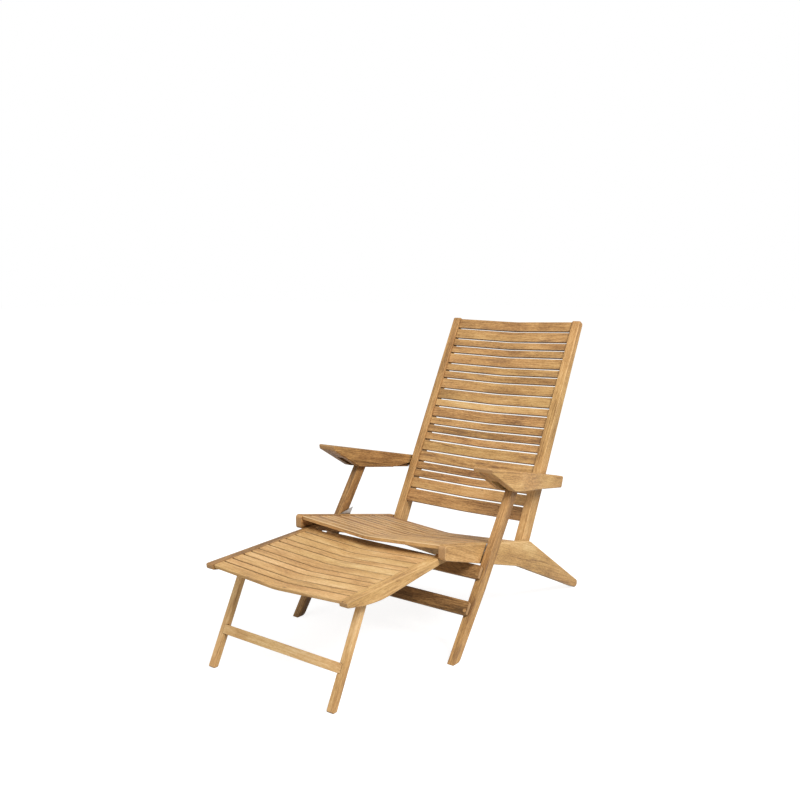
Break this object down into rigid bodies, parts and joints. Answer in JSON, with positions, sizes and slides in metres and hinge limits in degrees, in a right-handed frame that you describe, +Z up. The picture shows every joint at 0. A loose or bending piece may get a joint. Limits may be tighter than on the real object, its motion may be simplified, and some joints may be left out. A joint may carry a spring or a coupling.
{
  "type": "steamer deck chair",
  "caption": "Folding teak deck chair with slatted reclining back, broad arms, leaning front legs and a footrest that stows under the seat.",
  "frame": {"origin": "on the floor under the middle of the chair's bounding box", "axes": "+X to the sitter's left across the chair, +Y from the footrest towards the back, +Z up"},
  "size_m": [0.6118, 1.1706, 0.8489],
  "materials": {
    "teak_frame": "oiled satin, long straight grain",
    "teak_slats": "oiled satin, grain along each slat",
    "stainless_steel": "fine brushed"
  },
  "bodies": {
    "seat": {"seat_rail_left": "teak_frame", "seat_rail_right": "teak_frame", "seat_slat_front": "teak_slats", "seat_slats_wide": "teak_slats", "seat_slats_narrow": "teak_slats", "leg_pivot_pins": "stainless_steel", "back_pivot_pins": "stainless_steel", "stop_bracket_left": "stainless_steel", "stop_bracket_right": "stainless_steel"},
    "front_legs": {"front_leg_left": "teak_frame", "front_leg_right": "teak_frame", "leg_crossbar_upper": "teak_frame", "leg_crossbar_lower": "teak_frame"},
    "arm_pins": {"arm_pivot_pins": "stainless_steel"},
    "left_arm": {"arm_left": "teak_frame"},
    "right_arm": {"arm_right": "teak_frame"},
    "backrest": {"back_stile_left": "teak_frame", "back_stile_right": "teak_frame", "arm_pegs": "stainless_steel", "back_slat_01": "teak_slats", "back_slat_02": "teak_slats", "back_slat_03": "teak_slats", "back_slat_04": "teak_slats", "back_slat_05": "teak_slats", "back_slat_06": "teak_slats", "back_slat_07": "teak_slats", "back_slat_08": "teak_slats", "back_slat_09": "teak_slats", "back_slat_10": "teak_slats", "back_slat_11": "teak_slats", "back_slat_12": "teak_slats", "back_slat_13": "teak_slats", "back_slat_14": "teak_slats", "back_slat_15": "teak_slats", "back_slat_16": "teak_slats", "back_slat_17": "teak_slats", "back_slat_18": "teak_slats", "back_slat_19": "teak_slats", "back_slat_20": "teak_slats"},
    "footrest_runners": {"footrest_pins": "stainless_steel"},
    "footrest": {"footrest_rail_left": "teak_frame", "footrest_rail_right": "teak_frame", "footrest_leg_pins": "stainless_steel", "footrest_slat_01": "teak_slats", "footrest_slat_02": "teak_slats", "footrest_slat_03": "teak_slats", "footrest_slat_04": "teak_slats", "footrest_slat_05": "teak_slats", "footrest_slat_06": "teak_slats", "footrest_slat_07": "teak_slats", "footrest_slat_08": "teak_slats", "footrest_slat_09": "teak_slats", "footrest_slat_10": "teak_slats", "footrest_slat_11": "teak_slats"},
    "footrest_legs": {"footrest_leg_left": "teak_frame", "footrest_leg_right": "teak_frame", "footrest_leg_crossbar": "teak_frame"}
  },
  "joints": [
    {"name": "leg_fold", "type": "hinge", "parent": "seat", "child": "front_legs", "pos_m": [0, -0.022, 0.235], "axis": [1, 0, 0], "range_deg": [0, 84]},
    {"name": "arm_pin_turn", "type": "hinge", "parent": "front_legs", "child": "arm_pins", "pos_m": [0, 0.1099, 0.425], "axis": [1, 0, 0], "range_deg": [-84, 0]},
    {"name": "back_recline", "type": "hinge", "parent": "seat", "child": "backrest", "pos_m": [0, 0.2365, 0.2], "axis": [1, 0, 0], "range_deg": [-20, 45]},
    {"name": "arm_left_tilt", "type": "hinge", "parent": "arm_pins", "child": "left_arm", "pos_m": [0, 0.1099, 0.425], "axis": [1, 0, 0], "range_deg": [-6.9, 15.53]},
    {"name": "arm_right_tilt", "type": "hinge", "parent": "arm_pins", "child": "right_arm", "pos_m": [0, 0.1099, 0.425], "axis": [1, 0, 0], "range_deg": [-6.9, 15.53]},
    {"name": "footrest_slide", "type": "slide", "parent": "seat", "child": "footrest_runners", "axis": [0, 0.9777, -0.2102], "range_m": [0, 0.32]},
    {"name": "footrest_tilt", "type": "hinge", "parent": "footrest_runners", "child": "footrest", "pos_m": [0, -0.1258, 0.2668], "axis": [1, 0, 0], "range_deg": [-14.07, 0]},
    {"name": "footrest_leg_fold", "type": "hinge", "parent": "footrest", "child": "footrest_legs", "pos_m": [0, -0.4588, 0.2445], "axis": [1, 0, 0], "range_deg": [0, 116]}
  ],
  "couplings": [
    {"joint": "arm_pin_turn", "follows": "leg_fold", "ratio": -1},
    {"joint": "arm_left_tilt", "follows": "back_recline", "ratio": 0.345},
    {"joint": "arm_right_tilt", "follows": "back_recline", "ratio": 0.345},
    {"joint": "footrest_tilt", "follows": "footrest_slide", "rad_per_m": -0.76707}
  ]
}
